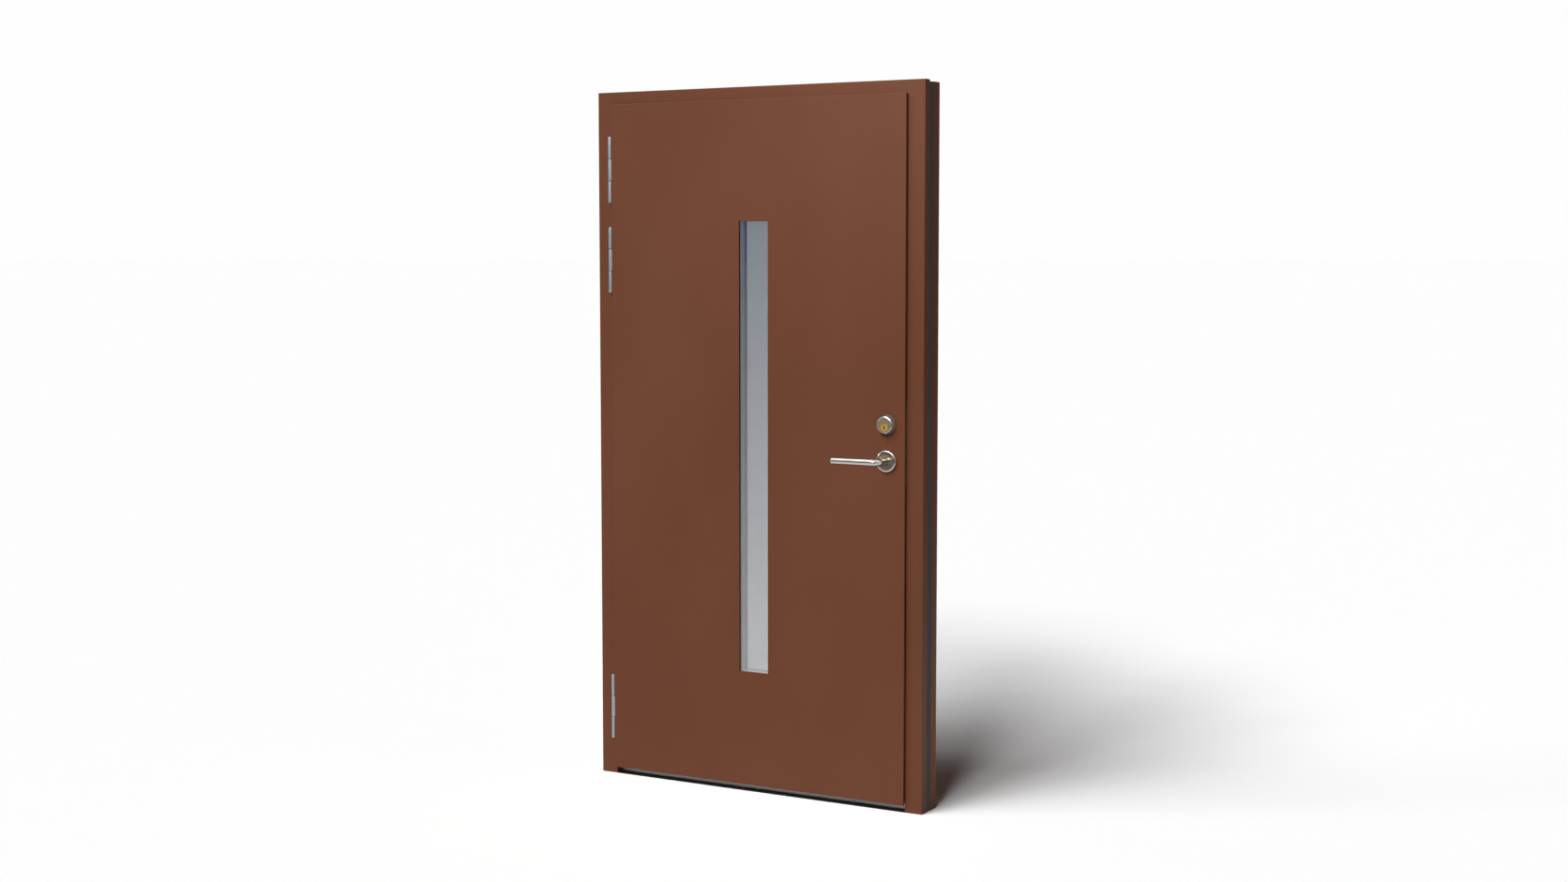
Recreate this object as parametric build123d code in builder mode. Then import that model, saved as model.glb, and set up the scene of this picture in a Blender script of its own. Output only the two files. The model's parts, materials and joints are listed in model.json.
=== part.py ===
"""Thermally broken aluminium entrance door: a flush panel leaf with a slot window in its frame.

X runs along the door from the hinges to the lock, Y runs from outdoors to the room, Z is up.
The origin is the middle of the sill's underside. All sizes are in millimetres.
"""

from build123d import *
import os

os.makedirs("parts", exist_ok=True)

# Frame
frame_width = 1100.0
frame_height = 2090.0
frame_depth = 93.0
jamb_face = 54.0
head_face = 38.0
outside_shell_depth = 30.0
frame_break_depth = 26.0
stop_depth = 16.0
inside_drop = 4.0
shell_wall = 2.0
shell_radius = 1.0
break_wall = 2.5
break_inset = 1.0

# Sill
sill_base_height = 3.0
sill_setback = 27.0
sill_height = 18.0
sill_stop_height = 38.0
sill_chamfer = 6.0

# Clearances between the leaf and the frame
panel_lap = 1.0
panel_gap = 5.0
hinge_gap = 6.0
lock_gap = 9.0
head_gap = 6.0
sill_gap = 10.0
stop_gap = 6.0

# Leaf
panel_proud = 12.0
panel_bottom = 21.5
skin = 2.0
skin_bend = 1.5
stile_width = 75.0
leaf_outside_depth = 24.0
leaf_break_depth = 20.0

# Slot window and its triple glazing
slot_width = 98.0
slot_bottom = 363.0
slot_top_drop = 389.5
slot_reveal = 9.0
pane = 4.0
pane_spacing = 12.0
glass_cover = 12.0
spacer_width = 8.0
glass_clearance = 0.3
bead_slope = 6.0

# Hinges
bottom_hinge_rise = 210.3
top_hinge_drop = 232.7
upper_hinge_step = 272.2
hinge_length = 198.0
knuckle_gap = 2.0
barrel_radius = 6.0
barrel_clearance = 0.75
pin_radius = 3.0
pin_fit = 0.05
barrel_chamfer = 1.0
hinge_foot = 8.0
hinge_tongue = 5.0

# Lock, its bolts and the strike
lock_backset = 47.0
lock_depth = 19.0
faceplate_width = 22.0
faceplate_height = 235.0
faceplate_thickness = 3.0
faceplate_corner = 3.0
faceplate_rise = 51.5
bolt_thickness = 12.0
bolt_length = 18.0
latch_height = 20.0
dead_bolt_height = 30.0
dead_bolt_rise = 77.5
bolt_clearance = 0.3
strike_thickness = 1.5
strike_play = 4.0

# Cylinder
cylinder_rise = 104.5
ring_base_radius = 29.5
ring_front_radius = 24.3
ring_height = 18.0
ring_bore_radius = 21.5
ring_edge = 1.5
plug_radius = 10.5
plug_drop = 7.5
plug_length = 24.0
plug_fit = 0.1
keyhole_width = 2.0
keyhole_height = 10.0
keyhole_depth = 8.0
turn_base_radius = 26.0
turn_base_height = 10.0
turn_width = 34.0
turn_thickness = 11.0
turn_height = 18.0

# Lever handles
handle_z = 1014.5
rose_radius = 31.5
rose_height = 9.0
rose_rim = 5.0
rose_shoulder = 1.5
inside_rose_radius = 27.0
grip_radius = 10.0
grip_standoff = 60.0
grip_reach = 146.0
grip_bend = 20.0
grip_tip = 2.0
neck_clearance = 0.3
skin_clearance = 0.5
spindle_side = 8.0
spindle_socket = 20.0
socket_fit = 0.1
spindle_hole_radius = 8.0

# Gasket on the frame's stop
gasket_width = 6.0
gasket_margin = 1.0
gasket_nip = 0.5
gasket_nose = 2.5

# Planes across the depth of the door
outside_plane = -frame_depth / 2
frame_break_plane = outside_plane + outside_shell_depth
stop_plane = frame_break_plane + frame_break_depth
inside_shell_depth = frame_depth - outside_shell_depth - frame_break_depth
leaf_front = outside_plane - panel_proud
panel_back = outside_plane - panel_gap
leaf_back = stop_plane - stop_gap
leaf_depth = leaf_back - leaf_front
leaf_shell_plane = leaf_front + skin
leaf_break_plane = leaf_shell_plane + leaf_outside_depth
leaf_inside_plane = leaf_break_plane + leaf_break_depth
leaf_inside_depth = leaf_back - skin - leaf_inside_plane
glass_front = leaf_front + slot_reveal
glass_pitch = pane + pane_spacing
glass_back = glass_front + 2 * glass_pitch + pane
lock_plane = outside_plane + lock_depth

# Edges of the opening, of the panel and of the leaf's body
opening_half = frame_width / 2 - jamb_face
opening_top = frame_height - head_face
stop_half = opening_half - stop_depth
stop_top = opening_top - stop_depth
panel_half = opening_half + panel_lap
panel_top = opening_top + panel_lap
hinge_edge = -opening_half + hinge_gap
lock_edge = opening_half - lock_gap
body_top = opening_top - head_gap
body_bottom = sill_height + sill_gap
slot_top = frame_height - slot_top_drop
slot_height = slot_top - slot_bottom
slot_middle = (slot_top + slot_bottom) / 2

# Hinge axis, beside the panel's edge and in front of the frame
axis_x = -panel_half - barrel_clearance - barrel_radius
axis_y = outside_plane - barrel_clearance - barrel_radius
knuckle_length = (hinge_length - 2 * knuckle_gap) / 3
top_hinge_z = frame_height - top_hinge_drop
hinge_heights = {
    "bottom": bottom_hinge_rise,
    "upper": top_hinge_z - upper_hinge_step,
    "top": top_hinge_z,
}

# Lock line down the leaf, with the heights of its pieces set from the handle's
lock_x = lock_edge - lock_backset
latch_z = handle_z
dead_bolt_z = handle_z + dead_bolt_rise
cylinder_z = handle_z + cylinder_rise
plug_z = cylinder_z - plug_drop
faceplate_center = handle_z + faceplate_rise

# Fixing holes, spread evenly up each jamb


def upright(y):
    """Sketch plane across the door at depth y: its x is X, its y is Z, and it faces outdoors."""
    return Plane.XZ.offset(-y)


def hollow_bar(plane, edge, width, front, depth, wall, cells, length, radius=0.0):
    """Extruded tube, starting edge in from the plane's origin, with webs between equal cells."""
    cell = (width - (cells + 1) * wall) / cells
    with BuildPart() as bar:
        with BuildSketch(plane):
            with Locations((edge + width / 2, front + depth / 2)):
                if radius:
                    RectangleRounded(width, depth, radius)
                else:
                    Rectangle(width, depth)
                with GridLocations(cell + wall, 0, cells, 1):
                    Rectangle(cell, depth - 2 * wall, mode=Mode.SUBTRACT)
        extrude(amount=length)
    return bar.part


def break_strips(plane, edge, width, length):
    """Two thermal break strips between the frame's shells, standing width apart over their outsides."""
    with BuildPart() as strips:
        with BuildSketch(plane):
            with Locations((edge + width / 2, frame_break_plane + frame_break_depth / 2)):
                with GridLocations(width - break_wall, 0, 2, 1):
                    Rectangle(break_wall, frame_break_depth)
        extrude(amount=length)
    return strips.part


def mitre(outer, inner, kept):
    """Plane through an outer and an inner corner (x, z), facing the point of the bar that stays."""
    across = Vector(outer[0] - inner[0], 0, outer[1] - inner[1])
    normal = across.cross(Vector(0, 1, 0))
    toward = Vector(kept[0] - outer[0], 0, kept[1] - outer[1])
    if normal.dot(toward) < 0:
        normal = -normal
    return Plane(origin=(outer[0], 0, outer[1]), z_dir=normal)


def ring(width, height, bar):
    """Flat rectangular frame in the current sketch, with sides of the given width."""
    Rectangle(width, height)
    Rectangle(width - 2 * bar, height - 2 * bar, mode=Mode.SUBTRACT)


def save(builder, name):
    """Label a finished piece and write its file."""
    builder.part.label = name
    export_step(builder.part, f"parts/{name}.step")


# Frame bars: an outside shell, a thermal break and an inside shell on three sides
hinge_wall = Plane(origin=(-frame_width / 2, 0, 0), x_dir=(1, 0, 0), z_dir=(0, 0, 1))
lock_wall = Plane(origin=(frame_width / 2, 0, frame_height), x_dir=(-1, 0, 0), z_dir=(0, 0, -1))
lintel = Plane(origin=(-frame_width / 2, 0, frame_height), x_dir=(0, 0, -1), z_dir=(1, 0, 0))
frame_middle = (0, frame_height)
inside_top = frame_height - inside_drop


def frame_mitre(side, outer_inset, top, inner_half, inner_top, kept):
    """Corner cut of a frame bar on the hinge side (-1) or the lock side (1)."""
    outer = (side * (frame_width / 2 - outer_inset), top)
    inner = (side * inner_half, inner_top)
    return mitre(outer, inner, kept)


def outside_mitre(side, kept):
    return frame_mitre(side, 0, frame_height, opening_half, opening_top, kept)


def break_mitre(side, kept):
    inset = break_inset
    return frame_mitre(side, inset, inside_top - inset, opening_half + inset, opening_top + inset, kept)


def inside_mitre(side, kept):
    return frame_mitre(side, 0, inside_top, stop_half, stop_top, kept)


jamb_break_width = jamb_face - 2 * break_inset
head_break_width = head_face - inside_drop - 2 * break_inset
inside_jamb_width = jamb_face + stop_depth
inside_head_width = head_face + stop_depth - inside_drop

for side, wall_plane, name in ((-1, hinge_wall, "hinge_jamb"), (1, lock_wall, "lock_jamb")):
    foot = (side * frame_width / 2, 0)

    with BuildPart() as jamb_outside:
        add(hollow_bar(wall_plane, 0, jamb_face, outside_plane, outside_shell_depth,
                       shell_wall, 2, frame_height, shell_radius))
        split(bisect_by=outside_mitre(side, foot), keep=Keep.TOP)
        if side > 0:
            with Locations((opening_half, lock_plane, latch_z)):
                Box(4 * shell_wall, bolt_thickness, latch_height + strike_play, mode=Mode.SUBTRACT)
            with Locations((opening_half, lock_plane, dead_bolt_z)):
                Box(4 * shell_wall, bolt_thickness, dead_bolt_height + strike_play, mode=Mode.SUBTRACT)
    save(jamb_outside, f"{name}_outside")

    with BuildPart() as jamb_break:
        add(break_strips(wall_plane, break_inset, jamb_break_width, frame_height))
        split(bisect_by=break_mitre(side, foot), keep=Keep.TOP)
    save(jamb_break, f"{name}_break")

    with BuildPart() as jamb_inside:
        add(hollow_bar(wall_plane, 0, inside_jamb_width, stop_plane, inside_shell_depth,
                       shell_wall, 2, frame_height, shell_radius))
        split(bisect_by=inside_mitre(side, foot), keep=Keep.TOP)
    save(jamb_inside, f"{name}_inside")

with BuildPart() as head_outside:
    add(hollow_bar(lintel, 0, head_face, outside_plane, outside_shell_depth,
                   shell_wall, 2, frame_width, shell_radius))
    split(bisect_by=outside_mitre(-1, frame_middle), keep=Keep.TOP)
    split(bisect_by=outside_mitre(1, frame_middle), keep=Keep.TOP)
save(head_outside, "head_outside")

with BuildPart() as head_break:
    add(break_strips(lintel, inside_drop + break_inset, head_break_width, frame_width))
    split(bisect_by=break_mitre(-1, frame_middle), keep=Keep.TOP)
    split(bisect_by=break_mitre(1, frame_middle), keep=Keep.TOP)
save(head_break, "head_break")

with BuildPart() as head_inside:
    add(hollow_bar(lintel, inside_drop, inside_head_width, stop_plane, inside_shell_depth,
                   shell_wall, 2, frame_width, shell_radius))
    split(bisect_by=inside_mitre(-1, frame_middle), keep=Keep.TOP)
    split(bisect_by=inside_mitre(1, frame_middle), keep=Keep.TOP)
save(head_inside, "head_inside")

# Sill between the jambs: a dark base strip and the aluminium threshold with its stop
def notch_for_stops():
    """Cut the current piece back beside the jambs' stops."""
    for side in (-1, 1):
        with Locations((side * (opening_half - stop_depth / 2), stop_plane + inside_shell_depth / 2, 0)):
            Box(stop_depth, inside_shell_depth, 2 * sill_stop_height, mode=Mode.SUBTRACT)


with BuildPart() as sill_base:
    with BuildSketch():
        Rectangle(2 * opening_half, frame_depth)
    extrude(amount=sill_base_height)
    notch_for_stops()
save(sill_base, "sill_base")

sill_front = outside_plane + sill_setback
sill_end = Plane(origin=(-opening_half, 0, 0), x_dir=(0, 1, 0), z_dir=(1, 0, 0))

with BuildPart() as threshold:
    with BuildSketch(sill_end):
        with BuildLine():
            Polyline(
                (sill_front, sill_base_height),
                (sill_front, sill_height),
                (stop_plane, sill_height),
                (stop_plane, sill_stop_height),
                (frame_depth / 2 - sill_chamfer, sill_stop_height),
                (frame_depth / 2, sill_stop_height - sill_chamfer),
                (frame_depth / 2, sill_base_height),
                close=True,
            )
        make_face()
        offset(amount=-shell_wall, mode=Mode.SUBTRACT)
        with Locations((stop_plane + shell_wall / 2, (sill_base_height + sill_height) / 2)):
            Rectangle(shell_wall, sill_height - sill_base_height)
    extrude(amount=2 * opening_half)
    notch_for_stops()
save(threshold, "threshold")

# Gasket round the stop: a foot in the shells' groove and a rounded nose towards the leaf
gasket_half = stop_half + gasket_margin + gasket_width
gasket_top = stop_top + gasket_margin + gasket_width
gasket_bottom = sill_stop_height - gasket_margin - gasket_width
gasket_middle = (gasket_top + gasket_bottom) / 2
gasket_height = gasket_top - gasket_bottom
gasket_thickness = stop_gap - gasket_nip

with BuildPart() as stop_gasket:
    with BuildSketch(upright(stop_plane)):
        with Locations((0, gasket_middle)):
            ring(2 * gasket_half, gasket_height, gasket_width)
    extrude(amount=gasket_thickness)
    nose = stop_gasket.faces().sort_by(Axis.Y)[0]
    fillet(nose.edges(), gasket_nose)
save(stop_gasket, "stop_gasket")

# Strike plate on the lock jamb's reveal
with BuildPart() as strike_plate:
    with BuildSketch(Plane(origin=(opening_half, lock_plane, 0), x_dir=(0, 1, 0), z_dir=(-1, 0, 0))):
        with Locations((0, -faceplate_center)):
            RectangleRounded(faceplate_width, faceplate_height, faceplate_corner)
        with Locations((0, -latch_z)):
            Rectangle(bolt_thickness, latch_height + strike_play, mode=Mode.SUBTRACT)
        with Locations((0, -dead_bolt_z)):
            Rectangle(bolt_thickness, dead_bolt_height + strike_play, mode=Mode.SUBTRACT)
    extrude(amount=strike_thickness)
save(strike_plate, "strike_plate")

# Hinges: the frame's half carries the pin, the leaf's half turns on it
def pillar(bottom, length, radius):
    """Round bar on the hinge axis."""
    with BuildPart() as bar:
        with BuildSketch(Plane.XY.offset(bottom)):
            with Locations((axis_x, axis_y)):
                Circle(radius)
        extrude(amount=length)
    return bar.part


for place, middle in hinge_heights.items():
    lower_knuckle_z = middle - hinge_length / 2
    leaf_knuckle_z = middle - knuckle_length / 2
    upper_knuckle_z = leaf_knuckle_z + knuckle_length + knuckle_gap

    with BuildPart() as frame_half:
        for knuckle_z in (lower_knuckle_z, upper_knuckle_z):
            add(pillar(knuckle_z, knuckle_length, barrel_radius))
        ends = frame_half.edges().filter_by(GeomType.CIRCLE).sort_by(Axis.Z)
        chamfer((ends[0], ends[-1]), barrel_chamfer)
        add(pillar(leaf_knuckle_z - knuckle_gap, knuckle_length + 2 * knuckle_gap, pin_radius))
        for knuckle_z in (lower_knuckle_z, upper_knuckle_z):
            with BuildSketch(Plane.XY.offset(knuckle_z + barrel_chamfer)):
                with Locations((axis_x - hinge_foot / 4, (axis_y + outside_plane) / 2)):
                    Rectangle(hinge_foot, outside_plane - axis_y)
            extrude(amount=knuckle_length - 2 * barrel_chamfer)
    save(frame_half, f"{place}_hinge_frame_half")

    with BuildPart() as leaf_half:
        add(pillar(leaf_knuckle_z, knuckle_length, barrel_radius))
        with BuildSketch(Plane.XY.offset(leaf_knuckle_z + barrel_chamfer)):
            with Locations(((axis_x - panel_half) / 2, axis_y - hinge_tongue / 2 + barrel_clearance)):
                Rectangle(-panel_half - axis_x, hinge_tongue)
        extrude(amount=knuckle_length - 2 * barrel_chamfer)
        add(pillar(leaf_knuckle_z, knuckle_length, pin_radius + pin_fit), mode=Mode.SUBTRACT)
    save(leaf_half, f"{place}_hinge_leaf_half")

# Leaf skins: the outside tray with its returned edges and slot reveal, and the inside sheet
panel_height = panel_top - panel_bottom
panel_middle = (panel_top + panel_bottom) / 2
body_width = lock_edge - hinge_edge
body_height = body_top - body_bottom
body_center = ((lock_edge + hinge_edge) / 2, (body_top + body_bottom) / 2)
glass_width = slot_width + 2 * glass_cover
glass_height = slot_height + 2 * glass_cover


def bore(z, radius, depth):
    """Round hole on the lock line at height z, cut from the leaf's front into the current piece."""
    with BuildSketch(upright(leaf_front)) as hole:
        with Locations((lock_x, z)):
            Circle(radius)
    extrude(hole.sketch, amount=-depth, mode=Mode.SUBTRACT)


with BuildPart() as outside_skin:
    with BuildSketch(upright(leaf_shell_plane)):
        with Locations((0, panel_middle)):
            Rectangle(2 * panel_half, panel_height)
    extrude(amount=skin)
    rim = outside_skin.faces().sort_by(Axis.Y)[0].edges()
    fillet(rim, skin_bend)
    with BuildSketch(upright(panel_back)):
        with Locations((0, panel_middle)):
            ring(2 * panel_half, panel_height, skin)
    extrude(amount=panel_back - leaf_shell_plane)
    with BuildSketch(upright(glass_front)):
        with Locations((0, slot_middle)):
            Rectangle(slot_width + 2 * skin, slot_height + 2 * skin)
    extrude(amount=slot_reveal - skin)
    with BuildSketch(upright(glass_front)):
        with Locations((0, slot_middle)):
            Rectangle(slot_width, slot_height)
    extrude(amount=slot_reveal, mode=Mode.SUBTRACT)
    bore(handle_z, spindle_hole_radius, leaf_depth)
    bore(plug_z, plug_radius + plug_fit, plug_length)
save(outside_skin, "outside_skin")

with BuildPart() as inside_skin:
    with BuildSketch(upright(leaf_back)):
        with Locations(body_center):
            Rectangle(body_width, body_height)
        with Locations((0, slot_middle)):
            Rectangle(glass_width + 2 * glass_clearance, glass_height + 2 * glass_clearance,
                      mode=Mode.SUBTRACT)
    extrude(amount=skin)
    bore(handle_z, spindle_hole_radius, leaf_depth)
save(inside_skin, "inside_skin")

# Leaf bars: an outside and an inside shell in each stile and rail, joined by the break
leaf_sides = {
    "hinge_stile": Plane(origin=(hinge_edge, 0, body_bottom), x_dir=(1, 0, 0), z_dir=(0, 0, 1)),
    "lock_stile": Plane(origin=(lock_edge, 0, body_top), x_dir=(-1, 0, 0), z_dir=(0, 0, -1)),
    "top_rail": Plane(origin=(hinge_edge, 0, body_top), x_dir=(0, 0, -1), z_dir=(1, 0, 0)),
    "bottom_rail": Plane(origin=(lock_edge, 0, body_bottom), x_dir=(0, 0, 1), z_dir=(-1, 0, 0)),
}


def faceplate_recess(clearance):
    """Pocket for the lock's faceplate in the leaf's edge, cut from the current piece."""
    with Locations((lock_edge - faceplate_thickness / 2, lock_plane, faceplate_center)):
        Box(faceplate_thickness, faceplate_width + 2 * clearance,
            faceplate_height + 2 * clearance, mode=Mode.SUBTRACT)
    for z, height in ((latch_z, latch_height), (dead_bolt_z, dead_bolt_height)):
        with Locations((lock_edge - bolt_length / 2, lock_plane, z)):
            Box(bolt_length, bolt_thickness + 2 * clearance, height + 2 * clearance,
                mode=Mode.SUBTRACT)


for name, edge_plane in leaf_sides.items():
    upright_bar = name.endswith("stile")
    bar_length = body_height if upright_bar else body_width
    start = edge_plane.origin
    end = start + edge_plane.z_dir * bar_length
    bar_middle = (start + end) * 0.5
    inward = edge_plane.x_dir * stile_width
    with BuildPart() as leaf_bar:
        add(hollow_bar(edge_plane, 0, stile_width, leaf_shell_plane, leaf_outside_depth,
                       shell_wall, 2, bar_length))
        add(hollow_bar(edge_plane, 0, stile_width, leaf_inside_plane, leaf_inside_depth,
                       shell_wall, 2, bar_length))
        for corner, along in ((start, edge_plane.z_dir), (end, -edge_plane.z_dir)):
            inner = corner + inward + along * stile_width
            split(bisect_by=mitre((corner.X, corner.Z), (inner.X, inner.Z), (bar_middle.X, bar_middle.Z)),
                  keep=Keep.TOP)
        if name == "lock_stile":
            faceplate_recess(bolt_clearance)
            bore(handle_z, spindle_hole_radius, leaf_depth)
            bore(plug_z, plug_radius + plug_fit, plug_length)
    save(leaf_bar, name)

with BuildPart() as leaf_break:
    with BuildSketch(upright(leaf_inside_plane)):
        with Locations(body_center):
            ring(body_width - 2 * break_inset, body_height - 2 * break_inset, break_wall)
            ring(body_width - 2 * stile_width + 2 * break_wall,
                 body_height - 2 * stile_width + 2 * break_wall, break_wall)
    extrude(amount=leaf_break_depth)
    faceplate_recess(bolt_clearance)
save(leaf_break, "leaf_break")

with BuildPart() as insulation_core:
    with BuildSketch(upright(leaf_back - skin)):
        with Locations(body_center):
            Rectangle(body_width - 2 * stile_width, body_height - 2 * stile_width)
        with Locations((0, slot_middle)):
            Rectangle(glass_width + 2 * glass_clearance, glass_height + 2 * glass_clearance,
                      mode=Mode.SUBTRACT)
    extrude(amount=leaf_back - skin - leaf_shell_plane)
save(insulation_core, "insulation_core")

# Triple glazing in the slot, and the bead that holds it from the room
with BuildPart() as glass_panes:
    for layer in range(3):
        with BuildSketch(upright(glass_front + layer * glass_pitch + pane)):
            with Locations((0, slot_middle)):
                Rectangle(glass_width, glass_height)
        extrude(amount=pane)
save(glass_panes, "glass_panes")

with BuildPart() as glass_spacers:
    for layer in range(2):
        with BuildSketch(upright(glass_front + (layer + 1) * glass_pitch)):
            with Locations((0, slot_middle)):
                ring(slot_width + 2 * spacer_width, slot_height + 2 * spacer_width, spacer_width)
        extrude(amount=pane_spacing)
save(glass_spacers, "glass_spacers")

with BuildPart() as glazing_bead:
    with BuildSketch(upright(leaf_back)):
        with Locations((0, slot_middle)):
            ring(glass_width, glass_height, glass_cover)
    extrude(amount=leaf_back - glass_back)
    room_face = glazing_bead.faces().sort_by(Axis.Y)[-1]
    chamfer(room_face.inner_wires()[0].edges(), bead_slope)
save(glazing_bead, "glazing_bead")

# Lock faceplate with the two bolts drawn back level with it
with BuildPart() as lock_faceplate:
    with BuildSketch(Plane(origin=(lock_edge, lock_plane, 0), x_dir=(0, 1, 0), z_dir=(1, 0, 0))):
        with Locations((0, faceplate_center)):
            RectangleRounded(faceplate_width, faceplate_height, faceplate_corner)
        for z, height in ((latch_z, latch_height), (dead_bolt_z, dead_bolt_height)):
            with Locations((0, z)):
                Rectangle(bolt_thickness + 2 * bolt_clearance, height + 2 * bolt_clearance,
                          mode=Mode.SUBTRACT)
    extrude(amount=-faceplate_thickness)
save(lock_faceplate, "lock_faceplate")

for name, z, height in (("latch_bolt", latch_z, latch_height), ("dead_bolt", dead_bolt_z, dead_bolt_height)):
    with BuildPart() as bolt:
        with Locations((lock_edge - bolt_length / 2, lock_plane, z)):
            Box(bolt_length, bolt_thickness, height)
    save(bolt, name)

# Outside cylinder: a tapered guard ring, the cylinder's face and its key plug
def turned(y, x, z, outline):
    """Solid of revolution about the line along Y through (x, z), from (radius, height) points
    measured outdoors from depth y."""
    section = Plane(origin=(x, y, z), x_dir=(1, 0, 0), z_dir=(0, 0, 1))
    with BuildPart() as solid:
        with BuildSketch(section):
            with BuildLine():
                Polyline(*[(radius, -height) for radius, height in outline], close=True)
            make_face()
        revolve(axis=Axis((x, y, z), (0, 1, 0)))
    return solid.part


with BuildPart() as cylinder_ring:
    add(turned(leaf_front, lock_x, cylinder_z, (
        (ring_bore_radius, 0),
        (ring_base_radius, 0),
        (ring_front_radius, ring_height - ring_edge),
        (ring_bore_radius, ring_height),
    )))
save(cylinder_ring, "cylinder_ring")

with BuildPart() as cylinder_face:
    with BuildSketch(upright(leaf_front)):
        with Locations((lock_x, cylinder_z)):
            Circle(ring_bore_radius - plug_fit)
        with Locations((lock_x, plug_z)):
            Circle(plug_radius + plug_fit, mode=Mode.SUBTRACT)
    extrude(amount=ring_height)
save(cylinder_face, "cylinder_face")

with BuildPart() as key_plug:
    with BuildSketch(upright(leaf_front - ring_height + plug_length)):
        with Locations((lock_x, plug_z)):
            Circle(plug_radius)
    extrude(amount=plug_length)
    with BuildSketch(upright(leaf_front - ring_height)):
        with Locations((lock_x, plug_z)):
            SlotOverall(keyhole_height, keyhole_width, rotation=90)
            with Locations((0, keyhole_width)):
                Circle(keyhole_width)
    extrude(amount=-keyhole_depth, mode=Mode.SUBTRACT)
save(key_plug, "key_plug")

# Thumb turn on the room side
with BuildPart() as turn_ring:
    with BuildSketch(upright(leaf_back)):
        with Locations((lock_x, cylinder_z)):
            Circle(turn_base_radius)
    extrude(amount=-turn_base_height)
    chamfer(turn_ring.edges().sort_by(Axis.Y)[-1], ring_edge)
save(turn_ring, "turn_ring")

with BuildPart() as thumb_turn:
    with BuildSketch(upright(leaf_back + turn_base_height)):
        with Locations((lock_x, cylinder_z)):
            SlotOverall(turn_width, turn_thickness, rotation=90)
    extrude(amount=-turn_height)
save(thumb_turn, "thumb_turn")

# Lever handles: roses on the leaf, two levers and the spindle between them
for name, y, outward, radius in (
    ("outside_rose", leaf_front, 1, rose_radius),
    ("inside_rose", leaf_back, -1, inside_rose_radius),
):
    with BuildPart() as rose:
        add(turned(y, lock_x, handle_z, (
            (grip_radius + neck_clearance, 0),
            (radius, 0),
            (radius, outward * (rose_height - rose_rim)),
            (radius - rose_shoulder, outward * (rose_height - rose_shoulder)),
            (radius - rose_rim, outward * rose_height),
            (grip_radius + neck_clearance, outward * rose_height),
        )))
    save(rose, name)

for name, y, outward in (("outside_lever", leaf_front, -1), ("inside_lever", leaf_back, 1)):
    neck_y = y + outward * skin_clearance
    grip_y = y + outward * grip_standoff
    lever_plane = Plane.XY.offset(handle_z)
    with BuildPart() as lever:
        with BuildLine(lever_plane) as lever_path:
            FilletPolyline(
                (lock_x, neck_y),
                (lock_x, grip_y),
                (lock_x - grip_reach, grip_y),
                radius=grip_bend,
            )
        with BuildSketch(Plane(origin=(lock_x, neck_y, handle_z), z_dir=(0, outward, 0))):
            Circle(grip_radius)
        sweep(path=lever_path.wires()[0])
        chamfer(lever.faces().sort_by(Axis.X)[0].edges(), grip_tip)
        with BuildSketch(Plane(origin=(lock_x, neck_y, handle_z), z_dir=(0, outward, 0))):
            Rectangle(spindle_side + 2 * socket_fit, spindle_side + 2 * socket_fit)
        extrude(amount=spindle_socket, mode=Mode.SUBTRACT)
    save(lever, name)

spindle_start = leaf_front - skin_clearance - spindle_socket + socket_fit
spindle_end = leaf_back + skin_clearance + spindle_socket - socket_fit

with BuildPart() as spindle:
    with BuildSketch(upright(spindle_end)):
        with Locations((lock_x, handle_z)):
            Rectangle(spindle_side, spindle_side)
    extrude(amount=spindle_end - spindle_start)
save(spindle, "spindle")
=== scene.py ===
"""Looks of the aluminium panel door: finishes, turned and bent fittings, seals and studio.

Lengths are in metres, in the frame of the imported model: X from the hinges to the lock,
Y from outdoors to the room, Z up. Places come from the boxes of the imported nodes.
"""

import json
import math

import bpy
import numpy as np
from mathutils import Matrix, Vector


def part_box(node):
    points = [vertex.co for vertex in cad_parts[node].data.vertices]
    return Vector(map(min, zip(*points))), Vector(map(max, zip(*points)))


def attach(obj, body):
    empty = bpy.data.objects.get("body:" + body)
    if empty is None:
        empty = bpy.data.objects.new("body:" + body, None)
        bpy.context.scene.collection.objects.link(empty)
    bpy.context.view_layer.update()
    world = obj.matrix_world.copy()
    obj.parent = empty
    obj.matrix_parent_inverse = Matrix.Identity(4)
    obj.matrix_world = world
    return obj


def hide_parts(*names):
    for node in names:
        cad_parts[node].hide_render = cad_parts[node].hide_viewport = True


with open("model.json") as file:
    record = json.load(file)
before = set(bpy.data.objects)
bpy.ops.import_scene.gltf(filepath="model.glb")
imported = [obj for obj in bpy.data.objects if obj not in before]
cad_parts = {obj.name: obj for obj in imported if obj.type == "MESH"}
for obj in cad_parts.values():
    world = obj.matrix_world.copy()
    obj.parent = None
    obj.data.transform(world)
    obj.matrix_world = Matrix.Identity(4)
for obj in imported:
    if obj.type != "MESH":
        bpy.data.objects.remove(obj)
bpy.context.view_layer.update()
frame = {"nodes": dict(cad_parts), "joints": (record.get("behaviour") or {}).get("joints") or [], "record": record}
nodes = frame["nodes"]


# Finishes


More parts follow.
